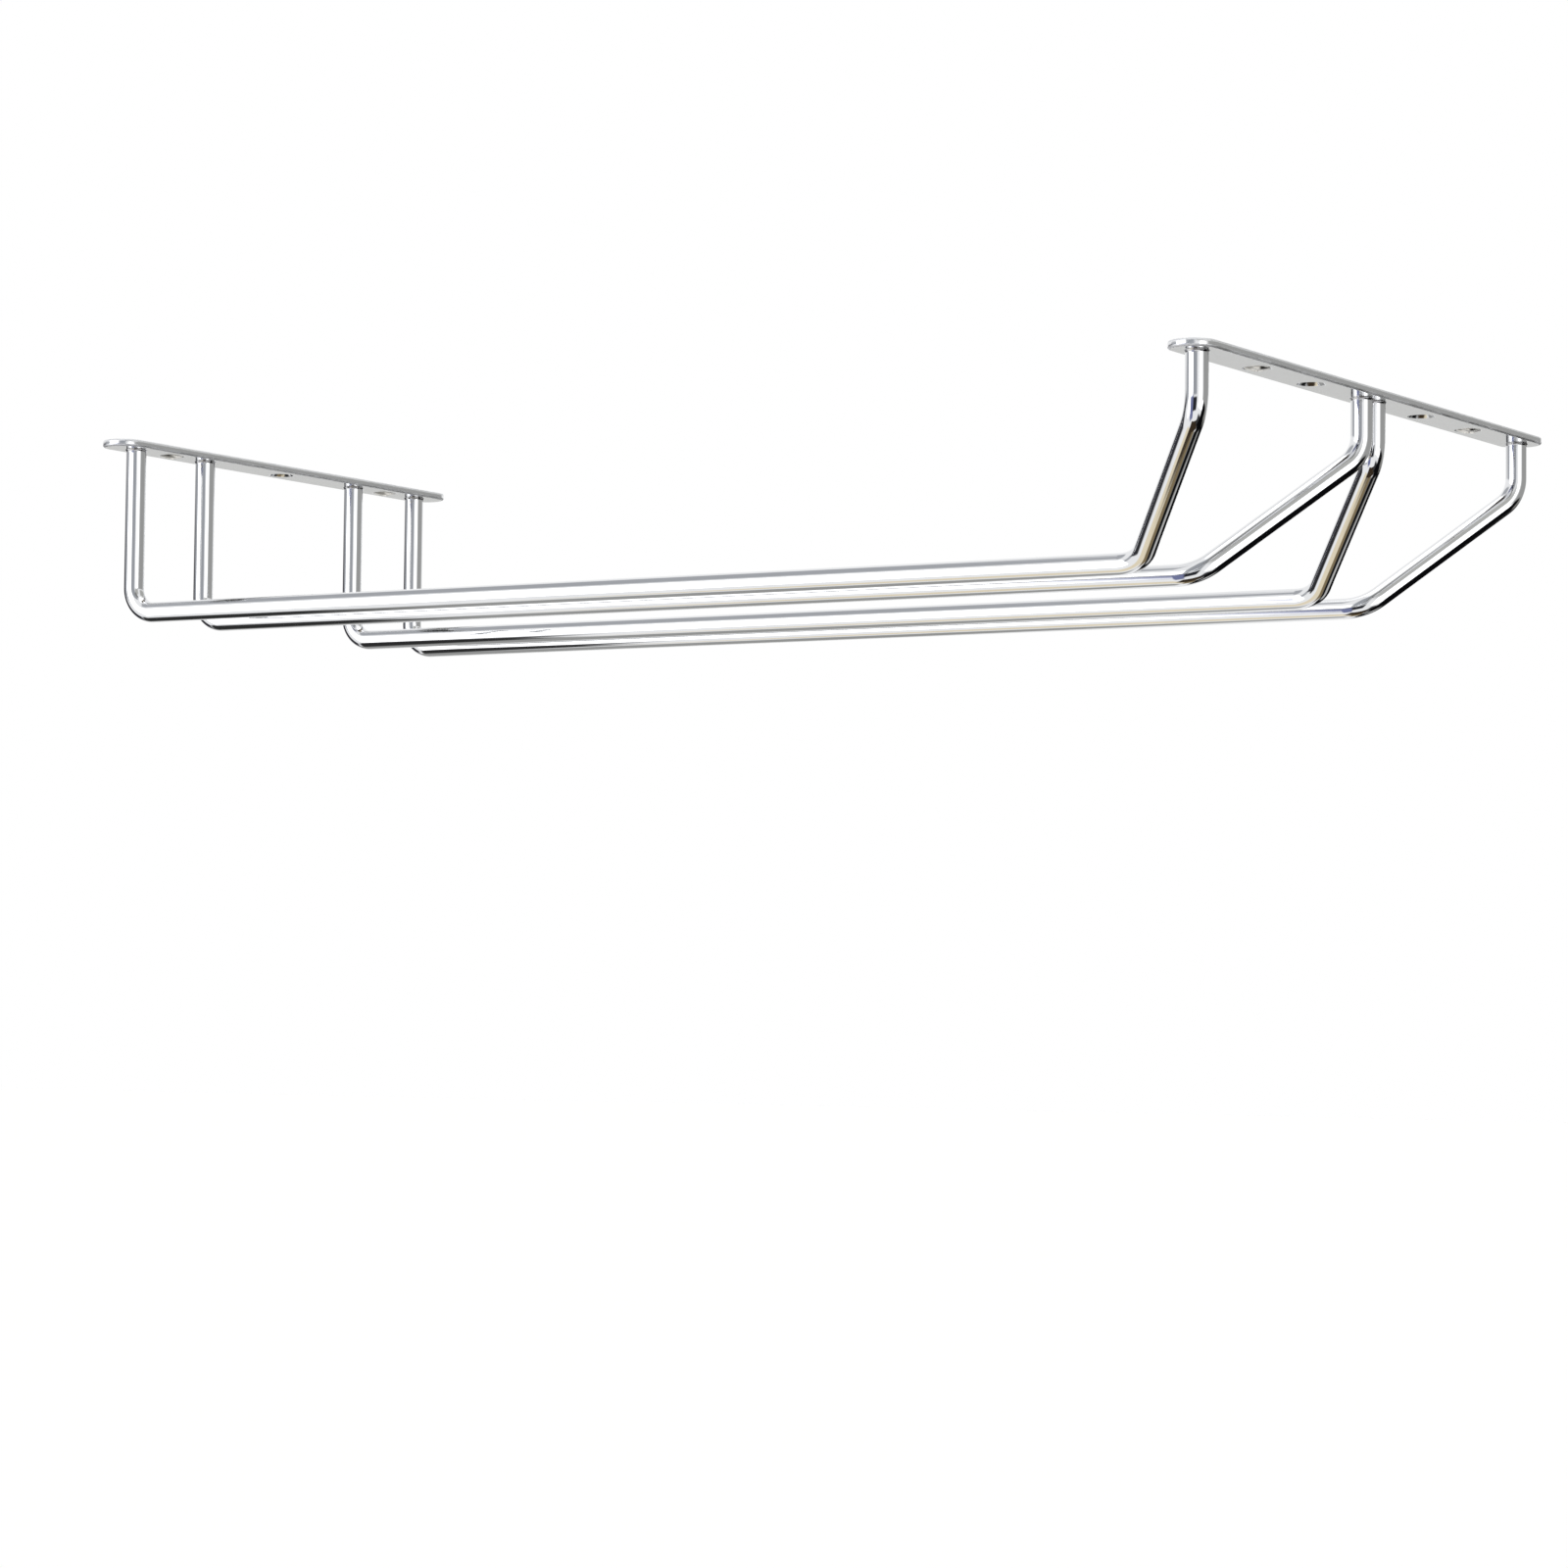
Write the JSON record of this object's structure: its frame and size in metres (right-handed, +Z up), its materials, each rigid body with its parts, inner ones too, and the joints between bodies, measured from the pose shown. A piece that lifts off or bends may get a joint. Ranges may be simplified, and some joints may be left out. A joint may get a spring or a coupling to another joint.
{
  "type": "hanging wine glass rack",
  "caption": "Under-shelf rack of bent round wires welded to flat screw-on bars. Each pair of wires opens like a funnel and holds stemmed glasses upside down by their feet.",
  "frame": {"origin": "in the plane of the bars' top faces, which lie against the cabinet, midway between the bars and midway across the rack", "axes": "+Z up, out of the bars' top faces towards the cabinet. +Y from the front, where the glasses go in, to the rear. +X to the right of someone who stands at the front and faces the rear."},
  "size_m": [0.205, 0.352, 0.0578],
  "materials": {
    "chrome_bar": "polished chrome plate on flat steel bar, with the bar's rolled flatness",
    "chrome_wire": "bright chrome plate on drawn steel wire",
    "plated_screw": "nickel-coloured plated steel, a little duller than the rack"
  },
  "bodies": {
    "root": {"rear_plate": "chrome_bar", "front_plate": "chrome_bar", "left_outer_wire": "chrome_wire", "left_inner_wire": "chrome_wire", "right_inner_wire": "chrome_wire", "right_outer_wire": "chrome_wire", "rear_left_screw": "plated_screw", "rear_right_screw": "plated_screw", "front_left_screw": "plated_screw", "front_right_screw": "plated_screw"}
  },
  "joints": []
}
